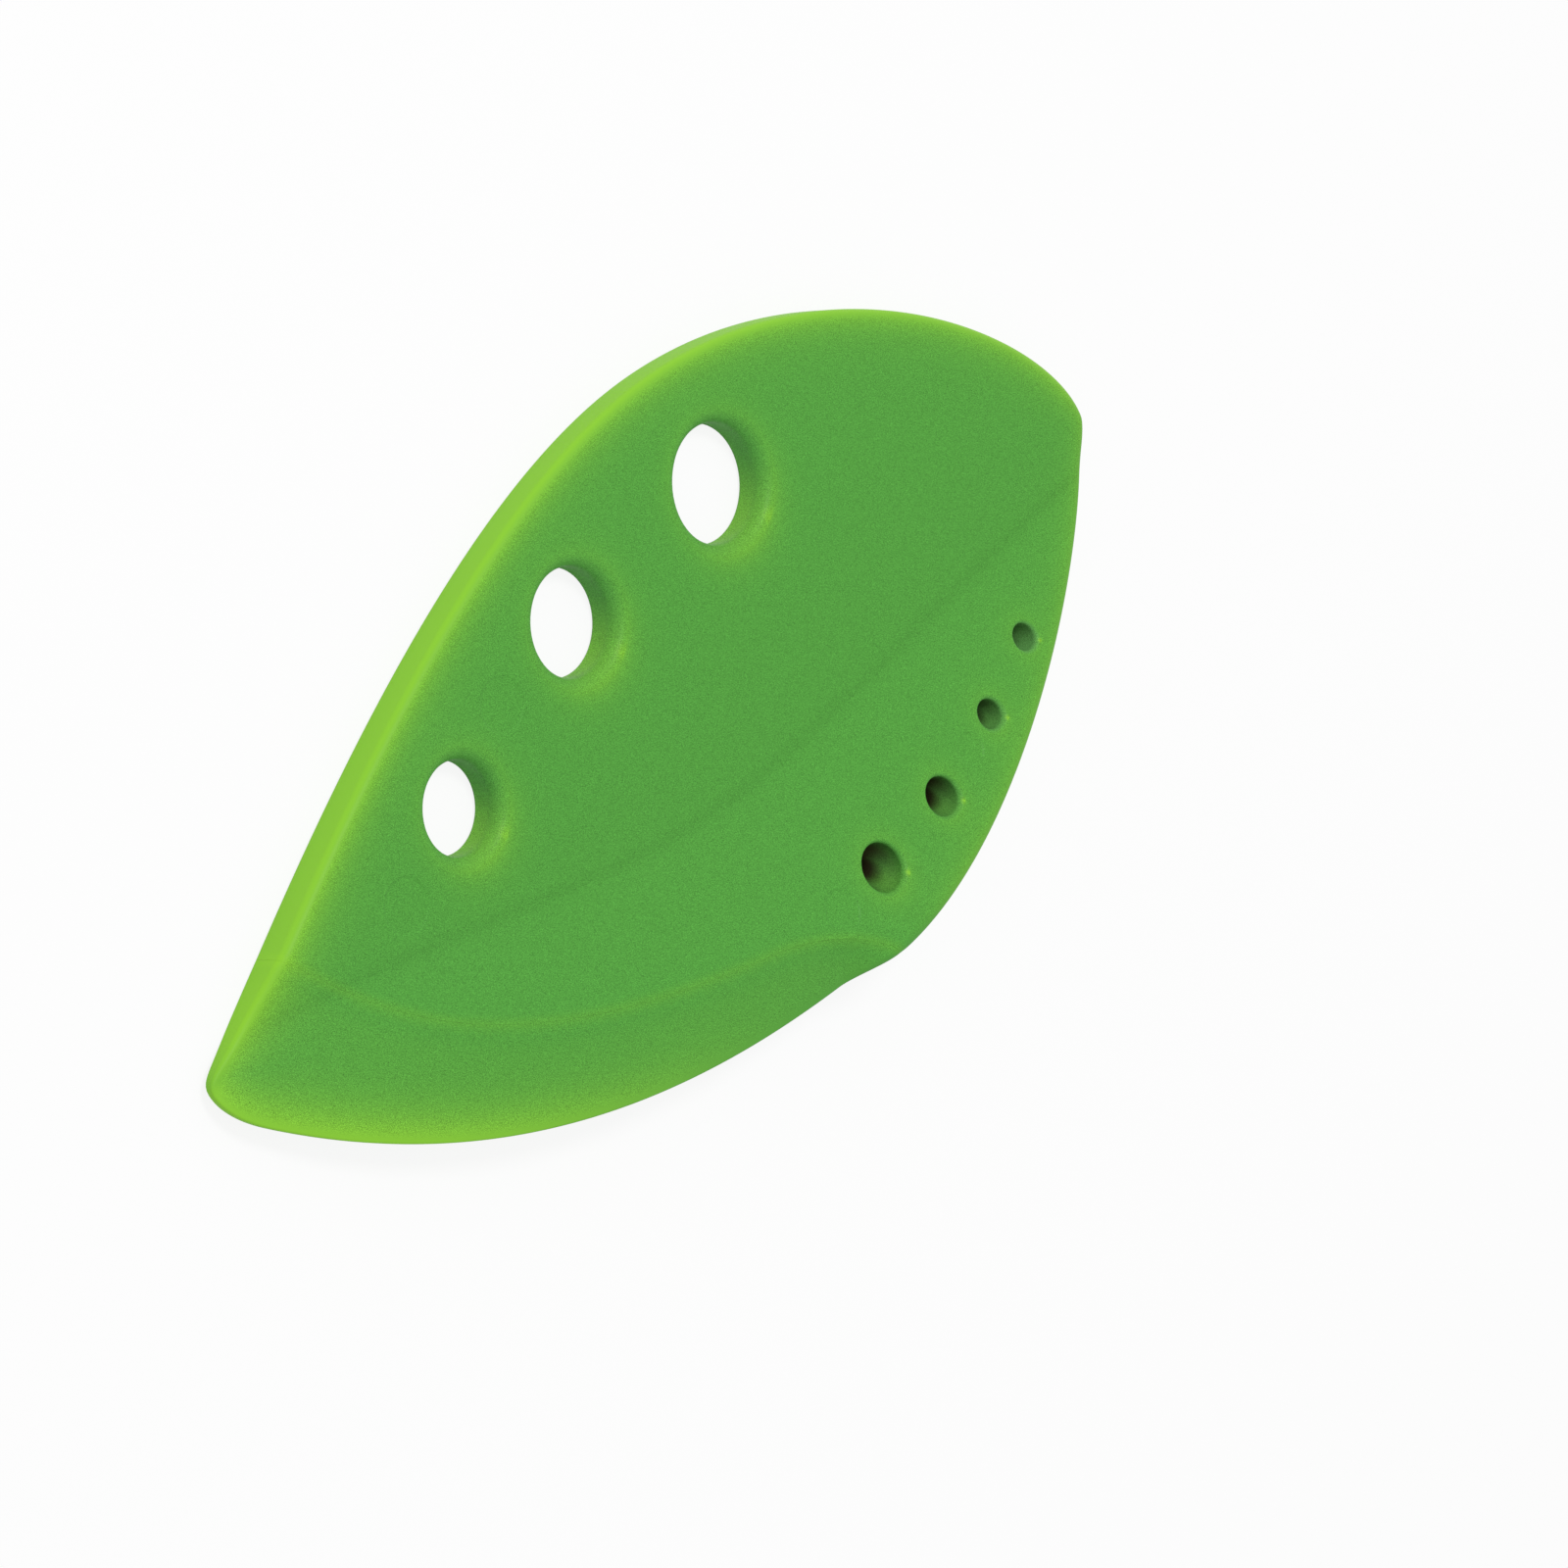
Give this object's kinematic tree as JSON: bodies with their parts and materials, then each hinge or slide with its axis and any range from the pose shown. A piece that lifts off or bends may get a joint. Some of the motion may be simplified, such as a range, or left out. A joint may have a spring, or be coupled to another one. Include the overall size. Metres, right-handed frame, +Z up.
{
  "type": "herb stripper",
  "caption": "Leaf-shaped moulded kitchen hand tool: stems are pulled through its holes to strip their leaves, and its thin curved edge chops the greens.",
  "frame": {"origin": "centre of the part's box, on the flat back that the leaf lies on", "axes": "+X from the blade's nose to the stem end, +Y from the chopping edge to the spine, +Z up, out of the hollow side of the fold"},
  "size_m": [0.1548, 0.0734, 0.0116],
  "materials": {
    "leaf_body": "satin green nylon with a fine grain on its faces",
    "chopping_blade": "satin green nylon, lighter where it is thin"
  },
  "bodies": {
    "root": {"leaf_body": "leaf_body", "chopping_blade": "chopping_blade"}
  },
  "joints": []
}
